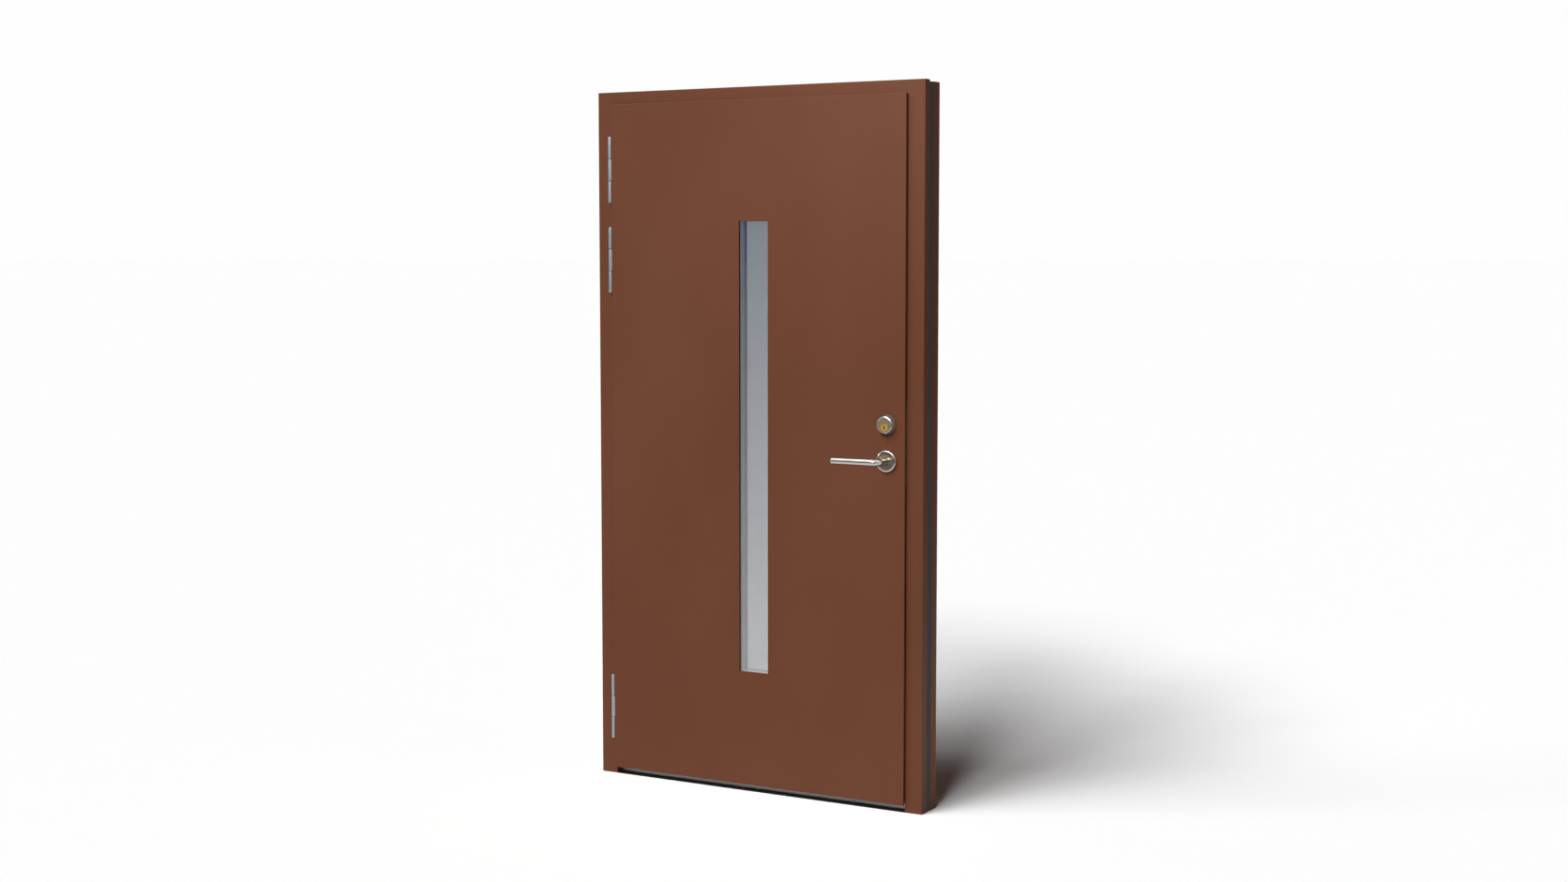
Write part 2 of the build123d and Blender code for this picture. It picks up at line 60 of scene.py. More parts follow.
class Finish:
    """One node material: a Principled shader with helpers that feed its sockets."""

    def __init__(self, name, **constants):
        """New material, with the constants set on the shader's own sockets."""
        self.material = bpy.data.materials.new(name)
        self.material.use_nodes = True
        self.tree = self.material.node_tree
        self.shader = self.tree.nodes["Principled BSDF"]
        for socket, value in constants.items():
            self.shader.inputs[socket.replace("_", " ")].default_value = value

    def node(self, kind, **inputs):
        """A node of the given kind with its inputs set or linked."""
        made = self.tree.nodes.new(kind)
        for socket, value in inputs.items():
            self.feed(made.inputs[socket.replace("_", " ")], value)
        return made

    def feed(self, socket, value):
        """Link an output to a socket, or set the socket's value."""
        if isinstance(value, bpy.types.NodeSocket):
            self.tree.links.new(value, socket)
        else:
            socket.default_value = value

    def place(self, scale):
        """Object coordinates stretched by the given scale along X, Y and Z."""
        coordinates = self.node("ShaderNodeTexCoord").outputs["Object"]
        return self.node("ShaderNodeMapping", Vector=coordinates, Scale=scale).outputs["Vector"]

    def grain(self, scale, detail=3.0, roughness=0.5):
        """Noise from 0 to 1 over the object, finer along an axis where its scale is larger."""
        noise = self.node("ShaderNodeTexNoise", Vector=self.place(scale), Scale=1.0, Detail=detail,
                          Roughness=roughness)
        return noise.outputs["Fac"]

    def ramp(self, value, low, high, start=0.3, end=0.7):
        """Colour or grey that goes from low to high as the value goes from start to end."""
        ramp = self.node("ShaderNodeValToRGB", Fac=value)
        for element, position, colour in zip(ramp.color_ramp.elements, (start, end), (low, high)):
            element.position = position
            element.color = (*colour, 1.0) if isinstance(colour, tuple) else (colour, colour, colour, 1.0)
        return ramp.outputs["Color"]

    def bump(self, height, distance, strength=1.0):
        """Surface relief of the given depth in metres."""
        relief = self.node("ShaderNodeBump", Height=height, Distance=distance, Strength=strength)
        self.feed(self.shader.inputs["Normal"], relief.outputs["Normal"])

    def colour(self, value):
        """Feed the shader's base colour."""
        self.feed(self.shader.inputs["Base Color"], value)

    def roughness(self, value):
        """Feed the shader's roughness."""
        self.feed(self.shader.inputs["Roughness"], value)


def powder_coat():
    """Satin red-brown powder coat: broad faint clouds of colour over a fine pebbled surface."""
    coat = Finish("brown_powder_coat", Specular_IOR_Level=0.2)
    clouds = coat.grain((2.2, 2.2, 1.3), detail=4.0)
    coat.colour(coat.ramp(clouds, (0.119, 0.0372, 0.0155), (0.138, 0.0475, 0.0230)))
    pebble = coat.grain((900.0, 900.0, 900.0), detail=2.0)
    coat.roughness(coat.ramp(pebble, 0.44, 0.54))
    coat.bump(pebble, distance=0.00004, strength=0.35)
    return coat.material


def break_strip():
    """Dark glass-filled polyamide with fine upright draw lines."""
    strip = Finish("break_polyamide")
    drawn = strip.grain((420.0, 420.0, 9.0), detail=3.0)
    strip.colour(strip.ramp(drawn, (0.014, 0.013, 0.014), (0.030, 0.028, 0.029)))
    strip.roughness(strip.ramp(drawn, 0.58, 0.72))
    strip.bump(drawn, distance=0.00005, strength=0.4)
    return strip.material


def black_strip():
    """Matt black base strip with a slight moulded texture."""
    strip = Finish("sill_base_black", Specular_IOR_Level=0.12)
    speckle = strip.grain((500.0, 500.0, 500.0), detail=2.0)
    strip.colour(strip.ramp(speckle, (0.005, 0.0045, 0.0045), (0.012, 0.011, 0.011)))
    strip.roughness(strip.ramp(speckle, 0.6, 0.75))
    strip.bump(speckle, distance=0.00008, strength=0.4)
    return strip.material


def anodised_aluminium():
    """Plain anodised aluminium with fine draw lines along X."""
    metal = Finish("threshold_aluminium", Metallic=0.7)
    lines = metal.grain((6.0, 1600.0, 1600.0), detail=2.0)
    metal.colour(metal.ramp(lines, (0.82, 0.83, 0.84), (0.92, 0.93, 0.94)))
    metal.roughness(metal.ramp(lines, 0.4, 0.5))
    metal.bump(lines, distance=0.00002, strength=0.3)
    return metal.material


def seal_rubber():
    """Black rubber seal, faintly dusty."""
    rubber = Finish("seal_rubber")
    dust = rubber.grain((60.0, 60.0, 60.0), detail=5.0)
    rubber.colour(rubber.ramp(dust, (0.010, 0.010, 0.010), (0.026, 0.025, 0.024)))
    rubber.roughness(rubber.ramp(dust, 0.55, 0.75))
    return rubber.material


def brushed_metal(name, dark, light, scale, smooth=0.25, rough=0.4, metallic=1.0):
    """Metal brushed along the axis where its scale is smallest; a lower metallic share is duller."""
    metal = Finish(name, Metallic=metallic)
    lines = metal.grain(scale, detail=3.0)
    metal.colour(metal.ramp(lines, dark, light))
    metal.roughness(metal.ramp(lines, smooth, rough))
    metal.bump(lines, distance=0.00001, strength=0.3)
    return metal.material


def keyhole_black():
    """Dull black painted into an open keyhole as its painted shade, with a trace of grey wear."""
    hole = Finish("keyhole_black", Specular_IOR_Level=0.0, Roughness=0.9)
    wear = hole.grain((900.0, 900.0, 900.0))
    hole.colour(hole.ramp(wear, (0.002, 0.002, 0.002), (0.006, 0.005, 0.004)))
    return hole.material


def foam_core():
    """Pale rigid foam with small cells."""
    foam = Finish("core_foam", Roughness=0.9)
    cells = foam.node("ShaderNodeTexVoronoi", Vector=foam.place((700.0, 700.0, 700.0)), Scale=1.0)
    foam.colour(foam.ramp(cells.outputs["Distance"], (0.68, 0.60, 0.38), (0.80, 0.73, 0.50)))
    foam.bump(cells.outputs["Distance"], distance=0.0003, strength=0.5)
    return foam.material


def window_glass():
    """Grey insulating glass: each pane veils what is behind it, and its colour is painted darker and bluer towards
    the top as a painted reflection.
    """
    low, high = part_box("glass_panes")
    glass = Finish("slot_glass", Alpha=0.24, Roughness=0.04)
    height = glass.node("ShaderNodeSeparateXYZ", Vector=glass.place((1.0, 1.0, 1.0))).outputs["Z"]
    along = glass.node("ShaderNodeMapRange", Value=height, From_Min=low.z, From_Max=high.z)
    # Painted reflection: pale grey at the bottom of the glass, dark blue at the top
    bottom, top = (0.45, 0.46, 0.48), (0.025, 0.06, 0.115)
    glass.colour(glass.ramp(along.outputs["Result"], bottom, top, start=0.0, end=1.0))
    return glass.material


def matt_spacer():
    """Matt pale grey of the spacer bars and the seal at the glass, with faint upright lines."""
    bar = Finish("matt_spacer")
    lines = bar.grain((500.0, 500.0, 8.0), detail=2.0)
    bar.colour(bar.ramp(lines, (0.80, 0.80, 0.79), (0.88, 0.88, 0.87)))
    bar.roughness(bar.ramp(lines, 0.5, 0.65))
    return bar.material


def polished_steel(name, dark, light, smooth, rough, metallic=1.0, rim=1.0):
    """Polished stainless steel with fine polishing marks; a low rim darkens its grazing edges."""
    metal = Finish(name, Metallic=metallic, Specular_Tint=(rim, rim, rim, 1.0))
    marks = metal.grain((1500.0, 1500.0, 1500.0), detail=2.0)
    metal.colour(metal.ramp(marks, dark, light))
    metal.roughness(metal.ramp(marks, smooth, rough))
    return metal.material


upright_brush = (900.0, 900.0, 14.0)
short_brush = (900.0, 900.0, 60.0)
fine_satin = (2500.0, 2500.0, 2500.0)

finish_of_slot = {
    "brown_paint": powder_coat(),
    "thermal_break": break_strip(),
    "sill_black": black_strip(),
    "mill_aluminium": anodised_aluminium(),
    "gasket_rubber": seal_rubber(),
    "satin_steel": brushed_metal("satin_steel", (0.42, 0.42, 0.42), (0.56, 0.56, 0.56), upright_brush),
    "hinge_steel": brushed_metal(
        "hinge_steel", (0.38, 0.43, 0.48), (0.44, 0.50, 0.55), short_brush, smooth=0.4, rough=0.5),
    "foam": foam_core(),
    "window_glass": window_glass(),
    "spacer_bar": matt_spacer(),
    "polished_steel": polished_steel(
        "polished_steel", (0.63, 0.61, 0.58), (0.69, 0.67, 0.64), smooth=0.08, rough=0.12, rim=0.15),
    "satin_nickel": brushed_metal(
        "satin_nickel", (0.57, 0.485, 0.345), (0.64, 0.55, 0.395), fine_satin, smooth=0.3, rough=0.36),
    "plug_brass": brushed_metal(
        "plug_brass", (0.64, 0.32, 0.05), (0.72, 0.39, 0.08), fine_satin,
        smooth=0.3, rough=0.36, metallic=0.5),
}

guard_steel = polished_steel(
    "guard_steel", (0.40, 0.40, 0.39), (0.46, 0.46, 0.45),
    smooth=0.16, rough=0.20, metallic=0.85, rim=0.2)
# Satin steel of the rose faces, its colour painted darker and warmer than the rim's as a painted reflection of
# dark brown surroundings
rose_face_steel = polished_steel(
    "rose_face_steel", (0.396, 0.341, 0.262), (0.444, 0.386, 0.304), smooth=0.24, rough=0.30)
# Dark steel of the lock's faceplate, bolts and screws: painted shade of the narrow gap between leaf and lock jamb
faceplate_steel = brushed_metal(
    "faceplate_steel", (0.10, 0.09, 0.085), (0.14, 0.13, 0.12), upright_brush, smooth=0.4, rough=0.55)

for part in frame["record"]["subparts"]:
    nodes[part["node"]].material_slots[0].material = finish_of_slot[part["material_slot"]]
# Faceplate and bolts take that dark steel, a painted shade of the gap
for node in ("lock_faceplate", "latch_bolt", "dead_bolt"):
    nodes[node].material_slots[0].material = faceplate_steel


# Surfaces: each is a grid of points [row, column, xyz] worked out as whole arrays

X, Y, Z = 0, 1, 2
fine_columns = 128
bar_columns = 72
barrel_columns = 48


def placed(name, data, place=(0.0, 0.0, 0.0), angles=(0.0, 0.0, 0.0)):
    """New object of the scene at the given place, turned by the given angles."""
    made = bpy.data.objects.new(name, data)
    bpy.context.scene.collection.objects.link(made)
    made.location = place
    made.rotation_euler = angles
    return made


def volume(corners):
    """Six times the signed volume between the origin and faces given as an array [face, corner, xyz]."""
    first, second, third = corners[:, :1], corners[:, 1:-1], corners[:, 2:]
    return np.sum(first * np.cross(second, third))


def patch(points, joined=False):
    """Closed skin over a grid whose last column meets its first. Its end rows are closed by one flat
    face each, or meet each other where joined. Returns points, faces of four corners and end faces,
    turned outwards."""
    rows, columns = points.shape[:2]
    index = np.arange(rows * columns).reshape(rows, columns)
    beside = np.roll(index, -1, axis=1)
    quads = np.stack((index, beside, np.roll(beside, -1, axis=0), np.roll(index, -1, axis=0)), axis=-1)
    quads = (quads if joined else quads[:-1]).reshape(-1, 4)
    ends = np.empty((0, columns), int) if joined else np.stack((index[0, ::-1], index[-1]))
    flat = points.reshape(-1, 3)
    about = flat - flat.mean(axis=0)
    outwards = 1 if volume(about[quads]) + volume(about[ends]) > 0 else -1
    return flat, quads[:, ::outwards], ends[:, ::outwards]


def piece(name, patches, slot, body, replaced=(), finish=None, crease=32.0):
    """One object from closed patches, smooth but for edges past the crease angle."""
    starts = np.cumsum([0] + [len(points) for points, _, _ in patches])
    groups = [faces + start for start, made in zip(starts, patches) for faces in made[1:]]
    corner_counts = np.concatenate([np.full(len(faces), faces.shape[1]) for faces in groups])
    corners = np.concatenate([faces.ravel() for faces in groups])
    points = np.concatenate([points for points, _, _ in patches])
    mesh = bpy.data.meshes.new(name)
    mesh.vertices.add(len(points))
    mesh.vertices.foreach_set("co", points.ravel())
    mesh.loops.add(len(corners))
    mesh.loops.foreach_set("vertex_index", corners)
    mesh.polygons.add(len(corner_counts))
    mesh.polygons.foreach_set("loop_start", np.cumsum(corner_counts) - corner_counts)
    mesh.polygons.foreach_set("use_smooth", np.ones(len(corner_counts), bool))
    mesh.update(calc_edges=True)
    mesh.validate()
    mesh.set_sharp_from_angle(angle=math.radians(crease))
    mesh.materials.append(finish or finish_of_slot[slot])
    made = placed(name, mesh)
    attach(made, body)
    if replaced:
        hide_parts(*replaced)
    return made


def softened(corners, cuts, steps=7):
    """Closed outline with each corner cut back by its own length and bridged by a quadratic curve:
    (1-t)^2 times the point before it, 2t(1-t) times the corner, t^2 times the point after it."""
    corners, cuts = np.array(corners, float), np.array(cuts, float)[:, None]
    ahead = np.roll(corners, -1, axis=0) - corners
    ahead /= np.linalg.norm(ahead, axis=1, keepdims=True)
    before, after = corners - cuts * np.roll(ahead, 1, axis=0), corners + cuts * ahead
    t = np.linspace(0.0, 1.0, steps)[None, :, None]
    curve = (1 - t) ** 2 * before[:, None] + 2 * t * (1 - t) * corners[:, None] + t**2 * after[:, None]
    outline = curve.reshape(-1, 2)
    moved = np.linalg.norm(outline - np.roll(outline, 1, axis=0), axis=1) > 1e-7
    return outline[moved]


def turned(outline, centre, axis, columns, radius_at=None):
    """Surface of revolution: each (radius, height) of the outline is a circle round the axis through
    the centre. radius_at may stretch the radius with the angle."""
    radius, height = np.array(outline, float).T
    turn = np.linspace(0.0, 2 * np.pi, columns, endpoint=False)
    across, up = [i for i in range(3) if i != axis]
    reach = radius[:, None] * np.ones(columns) if radius_at is None else radius_at(radius[:, None], turn)
    points = np.empty((len(radius), columns, 3))
    points[..., across] = centre[across] + reach * np.cos(turn)
    points[..., up] = centre[up] + reach * np.sin(turn)
    points[..., axis] = centre[axis] + height[:, None]
    return points


def upright_bar(outline, bottom, top):
    """Outline in X and Y carried straight up from bottom to top."""
    points = np.empty((2, len(outline), 3))
    points[..., :2] = outline
    points[..., 2] = np.array((bottom, top))[:, None]
    return points


def rectangle(low, high):
    """Corners of a rectangle between two (x, y) points."""
    return [(low[0], low[1]), (high[0], low[1]), (high[0], high[1]), (low[0], high[1])]


def middle(node):
    """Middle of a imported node's box."""
    low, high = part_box(node)
    return (low + high) / 2


# Lever handles

lever_bend = 0.020
lever_tip = 0.0025


def lever(name, node, outward):
    """Round bar along a neck, a quarter bend and a grip: each row is a circle square to that path,
    and the last rows shrink by a quarter circle into the rounded tip."""
    low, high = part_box(node)
    radius = (high.z - low.z) / 2
    neck_x = high.x - radius
    neck_y, grip_y = (high.y, low.y + radius) if outward < 0 else (low.y, high.y - radius)
    bend = np.linspace(0.0, np.pi / 2, 25)
    tip = np.linspace(0.0, np.pi / 2, 9)
    angle = np.concatenate(([0.0], bend, np.full(len(tip), np.pi / 2)))
    along_x = np.concatenate((
        [neck_x],
        neck_x - lever_bend * (1 - np.cos(bend)),
        low.x + lever_tip * (1 - np.sin(tip)),
    ))
    along_y = np.concatenate((
        [neck_y],
        grip_y - outward * lever_bend * (1 - np.sin(bend)),
        np.full(len(tip), grip_y),
    ))
    size = np.concatenate((np.full(1 + len(bend), radius), radius - lever_tip * (1 - np.cos(tip))))
    turn = np.linspace(0.0, 2 * np.pi, bar_columns, endpoint=False)
    points = np.empty((len(angle), len(turn), 3))
    points[..., X] = along_x[:, None] + np.outer(size * np.cos(angle), np.cos(turn))
    points[..., Y] = along_y[:, None] + outward * np.outer(size * np.sin(angle), np.cos(turn))
    points[..., Z] = (low.z + high.z) / 2 + np.outer(size, np.sin(turn))
    bar = piece(name, [patch(points)], "polished_steel", "handle", [node])
    # The photo shows no shadow of the lever on the leaf
    bar.visible_shadow = False
    return neck_x, radius


lever_x, lever_radius = lever("outside_lever_bar", "outside_lever", -1)
lever("inside_lever_bar", "inside_lever", 1)

# Roses: a polished rim round a satin face that lies a little lower

rim_width = 0.0052
rim_round = 0.0050
rim_inner_edge = 0.0001
face_drop = 0.0003
face_edge = 0.0002
bore_play = 0.0003


def rose(node, outward):
    """Turned cap: a closed section, softened at its corners, carried once round the lever's neck."""
    low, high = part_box(node)
    radius, height = (high.z - low.z) / 2, high.y - low.y
    centre = (lever_x, high.y if outward < 0 else low.y, (low.z + high.z) / 2)
    bore = lever_radius + bore_play
    inner = radius - rim_width
    seat, top = height - 2 * face_drop, height - face_drop
    rim = softened(
        [(bore, 0.0), (radius, 0.0), (radius, height), (inner, height), (inner, seat), (bore, seat)],
        [0.0, 0.0, rim_round, rim_inner_edge, rim_inner_edge, 0.0],
    )
    face = softened(
        [(bore, seat), (inner, seat), (inner, top), (bore, top)],
        [0.0, 0.0, face_edge, face_edge],
    )
    rim_ring = turned(rim * (1, outward), centre, Y, fine_columns)
    face_ring = turned(face * (1, outward), centre, Y, fine_columns)
    piece(f"{node}_rim", [patch(rim_ring, True)], "polished_steel", "leaf", [node])
    # The face's darker, warmer steel is a painted reflection
    piece(f"{node}_face", [patch(face_ring, True)], "polished_steel", "leaf", finish=rose_face_steel)


rose("outside_rose", -1)
rose("inside_rose", 1)

# Cylinder guard, the keyhole's painted shade and thumb turn

guard_front_inset = 0.0052
guard_bore_inset = 0.008
guard_edge = 0.0015
guard_wall = 0.0030
guard_round = 0.0026
guard_front_round = 0.0008
guard_bore_round = 0.0002


def cylinder_guard():
    """Turned cone: a closed section with a rounded front edge, carried once round the cylinder."""
    low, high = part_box("cylinder_ring")
    radius, height = (high.z - low.z) / 2, high.y - low.y
    centre = ((low.x + high.x) / 2, high.y, (low.z + high.z) / 2)
    bore, front = radius - guard_bore_inset, radius - guard_front_inset
    section = softened(
        [(bore, 0.0), (radius, 0.0), (radius, guard_wall), (front, height - guard_edge), (bore, height)],
        [0.0, 0.0, guard_round, guard_front_round, guard_bore_round],
    )
    ring = turned(section * (1, -1), centre, Y, fine_columns)
    piece("cylinder_guard", [patch(ring, True)], "polished_steel", "leaf", ["cylinder_ring"], guard_steel)


cylinder_guard()


def keyway():
    """Painted shade of the keyhole: a black insert shaped as a narrow upright slot that swells by a cosine
    bell into a round eye at its middle, as one outline set into the plug."""
    low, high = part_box("key_plug")
    centre = middle("key_plug")
    slot_half, eye_swell = 0.0010, 0.0015
    reach, eye_reach = 0.0060, 0.0024
    depth, proud = 0.002, 0.00005
    up = np.linspace(-reach, reach, 49)
    bell = np.where(np.abs(up) < eye_reach, 0.5 + 0.5 * np.cos(np.pi * up / eye_reach), 0.0)
    half = slot_half + eye_swell * bell
    points = np.empty((2, 2 * len(up), 3))
    points[..., X] = centre.x + np.concatenate((half, -half[::-1]))
    points[..., Y] = np.array((low.y - proud, low.y + depth))[:, None]
    points[..., Z] = centre.z + np.concatenate((up, up[::-1]))
    piece("keyway", [patch(points)], "gasket_rubber", "leaf", finish=keyhole_black())


keyway()


def thumb_turn():
    """Upright grip: a long round-ended outline carried out from the leaf, drawn in a little at its
    waist and rounded by a quarter circle at its front; and the turned plate behind it."""
    low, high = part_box("thumb_turn")
    half_width, half_height, depth = (high.x - low.x) / 2, (high.z - low.z) / 2, high.y - low.y
    centre = middle("thumb_turn")
    edge, waist, plate_round = 0.0025, 0.0012, 0.0024
    body = np.linspace(0.0, 1.0, 15)
    round_off = np.linspace(0.0, np.pi / 2, 8)[1:]
    inset = np.concatenate((waist * np.sin(np.pi * body), edge * (1 - np.cos(round_off))))
    out = np.concatenate((body * (depth - edge), depth - edge + edge * np.sin(round_off)))
    turn = (np.arange(bar_columns) + 0.5) * 2 * np.pi / bar_columns
    reach = (half_width - inset)[:, None]
    points = np.empty((len(out), len(turn), 3))
    points[..., X] = centre.x + reach * np.cos(turn)
    points[..., Y] = low.y + out[:, None]
    points[..., Z] = centre.z + reach * np.sin(turn) + (half_height - half_width) * np.sign(np.sin(turn))
    piece("thumb_turn_grip", [patch(points)], "polished_steel", "leaf", ["thumb_turn"])

    low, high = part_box("turn_ring")
    radius, height = (high.z - low.z) / 2, high.y - low.y
    hub = radius / 4
    section = softened(
        [(hub, 0.0), (radius, 0.0), (radius, height), (hub, height)],
        [0.0, 0.0, plate_round, 0.0],
    )
    plate = turned(section, (centre.x, low.y, centre.z), Y, fine_columns)
    piece("thumb_turn_plate", [patch(plate[1:-1])], "polished_steel", "leaf", ["turn_ring"])


thumb_turn()

# Hinges

swing = next(joint for joint in frame["joints"] if joint["name"] == "leaf_swing")
hinge_x, hinge_y = swing["pos_m"][:2]
barrel_radius = 0.006
barrel_edge = 0.0009
finial_edge = 0.0014
knuckle_gap = 0.002
hinge_foot_width = 0.008
hinge_foot_edge = 0.0005
foot_share_left = 0.75
tongue_thickness = 0.005
barrel_clearance = 0.00075
washer_radius = 0.0040
washer_play = 0.0002
panel_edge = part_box("outside_skin")[0].x
frame_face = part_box("hinge_jamb_outside")[0].y


def knuckle(bottom, top, bottom_edge, top_edge):
    """Turned barrel on the hinge axis with rounded ends."""
    hub = barrel_radius / 4
    section = softened(
        [(hub, bottom), (barrel_radius, bottom), (barrel_radius, top), (hub, top)],
        [0.0, bottom_edge, top_edge, 0.0],
    )
    return patch(turned(section[1:-1], (hinge_x, hinge_y, 0.0), Z, barrel_columns))


def hinge(place):
    """Frame half with two barrels and their feet, leaf half with one barrel and its tongue, and the
    dark washers between the barrels."""
    frame_low, frame_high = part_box(f"{place}_hinge_frame_half")
    leaf_low, leaf_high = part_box(f"{place}_hinge_leaf_half")
    lower_top, upper_bottom = leaf_low.z - knuckle_gap, leaf_high.z + knuckle_gap
    foot_left = hinge_x - foot_share_left * hinge_foot_width
    foot_right = hinge_x + (1 - foot_share_left) * hinge_foot_width
    foot_corners = rectangle((foot_left, hinge_y), (foot_right, frame_face))
    foot = softened(foot_corners, [hinge_foot_edge] * 4, steps=4)
    back = hinge_y + barrel_clearance
    tongue_corners = rectangle((hinge_x, back - tongue_thickness), (panel_edge, back))
    tongue = softened(tongue_corners, [hinge_foot_edge] * 4, steps=4)
    inset = barrel_radius / 6
    piece(f"{place}_hinge_frame_barrels", [
        knuckle(frame_low.z, lower_top, finial_edge, barrel_edge),
        knuckle(upper_bottom, frame_high.z, barrel_edge, finial_edge),
        patch(upright_bar(foot, frame_low.z + inset, lower_top - inset)),
        patch(upright_bar(foot, upper_bottom + inset, frame_high.z - inset)),
    ], "hinge_steel", "frame", [f"{place}_hinge_frame_half"])
    piece(f"{place}_hinge_leaf_barrel", [
        knuckle(leaf_low.z, leaf_high.z, barrel_edge, barrel_edge),
        patch(upright_bar(tongue, leaf_low.z + inset, leaf_high.z - inset)),
    ], "hinge_steel", "leaf", [f"{place}_hinge_leaf_half"])
    washer = np.array([(washer_radius, washer_play), (washer_radius, knuckle_gap - washer_play)])
    washers = [
        patch(turned(washer, (hinge_x, hinge_y, start), Z, barrel_columns))
        for start in (lower_top, leaf_high.z)
    ]
    piece(f"{place}_hinge_washers", washers, "gasket_rubber", "frame")


for place in ("bottom", "upper", "top"):
    hinge(place)

# Screws of the lock's faceplate and strike plate

screw_radius = 0.0036
screw_from_end = 0.012
recess_radius = 0.6 * screw_radius
lobe_share = 0.16


def star_recess(radius, turn):
    """Radius with six lobes where it is the recess's, and round elsewhere."""
    return radius * (1 + np.where(radius < recess_radius, lobe_share, 0.0) * np.cos(6 * turn))


def plate_screws(name, node, body, outward, finish=None):
    """Two sunk screw heads on the plate's face: a rounded rim, then a six-lobed recess."""
    low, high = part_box(node)
    face = high.x if outward > 0 else low.x
    radius_shares = np.array([1.0, 1.0, 0.9, 0.56, 0.55, 0.1])
    heights = np.array([-0.0004, 0.0001, 0.00025, 0.0003, -0.0012, -0.0014])
    section = np.stack((radius_shares * screw_radius, heights * outward), axis=1)
    heads = [
        patch(turned(section, (face, middle(node).y, z), X, barrel_columns, star_recess))
        for z in (low.z + screw_from_end, high.z - screw_from_end)
    ]
    piece(name, heads, "satin_steel", body, finish=finish)


# The faceplate's screws take the same painted shade of the gap
plate_screws("faceplate_screws", "lock_faceplate", "leaf", 1, faceplate_steel)
plate_screws("strike_screws", "strike_plate", "frame", -1)

# Glazing bead and its seal, and ribs on the threshold

bead_cover = 0.012
bead_land = 0.001
bead_flat = 0.0022
bead_land_edge = 0.0003
bead_flat_edge = 0.0012
seal_reach = 0.0010
seal_height = 0.0020
seal_round = 0.0008
four_corners = np.array([(-1, -1), (1, -1), (1, 1), (-1, 1)], float)


def around_glass(section, half_width, half_height, back):
    """Section of (inset, depth) points set at the glass's four corners, to be joined up as a ring."""
    points = np.empty((4, len(section), 3))
    points[..., X] = four_corners[:, :1] * (half_width - section[:, 0])
    points[..., Y] = back + section[:, 1]
    points[..., Z] = middle("glass_panes").z + four_corners[:, 1:] * (half_height - section[:, 0])
    return points


def glazing_trim():
    """Splayed bead, whose face slopes away from the glass towards the room, and a thin pale seal lip
    at the bead's foot: one section each, carried round the glass."""
    low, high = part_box("glazing_bead")
    half_width, half_height, depth = (high.x - low.x) / 2, (high.z - low.z) / 2, high.y - low.y
    bead = softened(
        [(0.0, 0.0), (bead_cover, 0.0), (bead_cover, bead_land), (bead_flat, depth), (0.0, depth)],
        [0.0, 0.0, bead_land_edge, bead_flat_edge, 0.0],
    )
    ring = around_glass(bead, half_width, half_height, low.y)
    piece("splayed_bead", [patch(ring, True)], "brown_paint", "leaf", ["glazing_bead"])
    lip = softened(
        [(0.0, 0.0), (seal_reach, 0.0), (seal_reach, seal_height), (0.0, seal_height)],
        [0.0, 0.0, seal_round, 0.0],
    )
    ring = around_glass(lip, half_width - bead_cover, half_height - bead_cover, low.y)
    piece("bead_seal", [patch(ring, True)], "gasket_rubber", "leaf", finish=finish_of_slot["spacer_bar"])


glazing_trim()

rib_height = 0.0008
rib_pitch = 0.004
rib_foot = 0.0005
tread_margin = 0.003
tread_height = 0.018


def threshold_ribs():
    """Ribbed tread: a cosine wave across the sill, closed by a flat underside, carried along X."""
    low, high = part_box("threshold")
    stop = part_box("hinge_jamb_inside")[0].y
    across = np.linspace(low.y + tread_margin, stop - 2 * tread_margin, 121)
    wave = tread_height + rib_height * (0.5 - 0.5 * np.cos(2 * np.pi * (across - across[0]) / rib_pitch))
    outline_y = np.concatenate((across, across[::-1][[0, -1]]))
    outline_z = np.concatenate((wave, (tread_height - rib_foot,) * 2))
    points = np.empty((2, len(outline_y), 3))
    points[..., X] = np.array((low.x, high.x))[:, None]
    points[..., Y] = outline_y
    points[..., Z] = outline_z
    piece("threshold_ribs", [patch(points)], "mill_aluminium", "frame", crease=60.0)


threshold_ribs()


# Studio: floor, light and camera

floor_size = 2000.0
paper_level = 0.7
paper_seen_level = 1.200
mirrored_floor_near = 2.0
mirrored_floor_far = 7.0
horizon = (0.11, 0.085, 0.055)
side_wall = (0.60, 0.58, 0.55)
side_wall_start = 0.7
side_wall_full = 0.95
mirrored_near_share = 0.75
backdrop_level = 0.99


def grey(level):
    """Opaque grey of the given level, where 1 is white."""
    return (level, level, level, 1.0)


def studio_node(tree, kind, *inputs):
    """A node of the studio with its inputs set or linked in order; None leaves one as it is."""
    made = tree.nodes.new(kind)
    for socket, value in zip(made.inputs, inputs):
        if isinstance(value, bpy.types.NodeSocket):
            tree.links.new(value, socket)
        elif value is not None:
            socket.default_value = value
    return made


def colour_ramp(tree, value, stops):
    """Colour that follows the value through (place, colour) stops."""
    ramp = studio_node(tree, "ShaderNodeValToRGB", value)
    points = ramp.color_ramp.elements
    while len(points) < len(stops):
        points.new(1.0)
    for point, (place, colour) in zip(points, stops):
        point.position = place
        point.color = (*colour, 1.0)
    return ramp.outputs["Color"]


def beside(tree, direction, front, sides):
    """Colour in a mirror: front where the direction points ahead, sides where it points along X."""
    sideways = studio_node(tree, "ShaderNodeSeparateXYZ", direction).outputs["X"]
    reach = studio_node(tree, "ShaderNodeMath", sideways)
    reach.operation = "ABSOLUTE"
    share = studio_node(tree, "ShaderNodeMapRange", reach.outputs[0], side_wall_start, side_wall_full)
    return studio_node(tree, "ShaderNodeMixRGB", share.outputs["Result"], front, sides).outputs["Color"]


def switched(tree, share, off, on):
    """Shader that is the first one where the share is 0 and the second where it is 1."""
    return studio_node(tree, "ShaderNodeMixShader", share, off.outputs[0], on.outputs[0])


